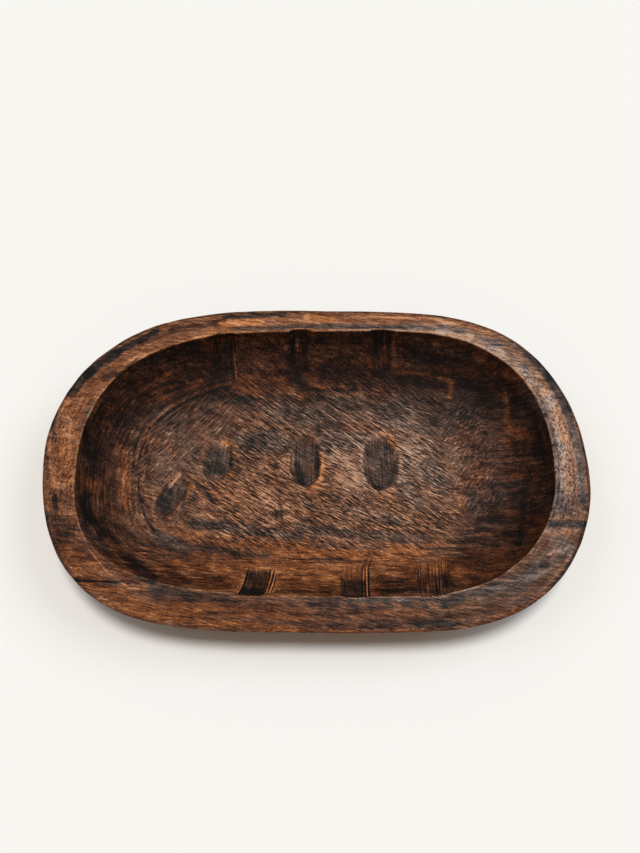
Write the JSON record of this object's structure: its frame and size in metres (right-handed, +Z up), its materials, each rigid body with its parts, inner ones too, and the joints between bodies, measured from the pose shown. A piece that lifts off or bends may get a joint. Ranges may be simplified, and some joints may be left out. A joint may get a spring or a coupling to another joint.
{
  "type": "dough bowl",
  "caption": "Long oval dough bowl carved from edge-glued boards, with a broad sloping rim, gouge marks inside and a flat foot.",
  "frame": {"origin": "under the middle of the bowl, on the surface that its foot rests on", "axes": "+X along the bowl to the right, +Y across it to the back, +Z up out of the hollow"},
  "size_m": [0.48, 0.294, 0.068],
  "materials": {
    "back_wood": "hand-gouged and scraped hardwood, dark stain rubbed back, thin wax",
    "middle_wood": "hand-gouged and scraped hardwood, dark stain rubbed back, thin wax",
    "front_wood": "hand-planed hardwood, dark stain rubbed back, thin wax",
    "glue": "cured wood glue, darkened by the stain"
  },
  "bodies": {
    "root": {"back_board": "back_wood", "back_glue_line": "glue", "middle_board": "middle_wood", "front_glue_line": "glue", "front_board": "front_wood"}
  },
  "joints": []
}
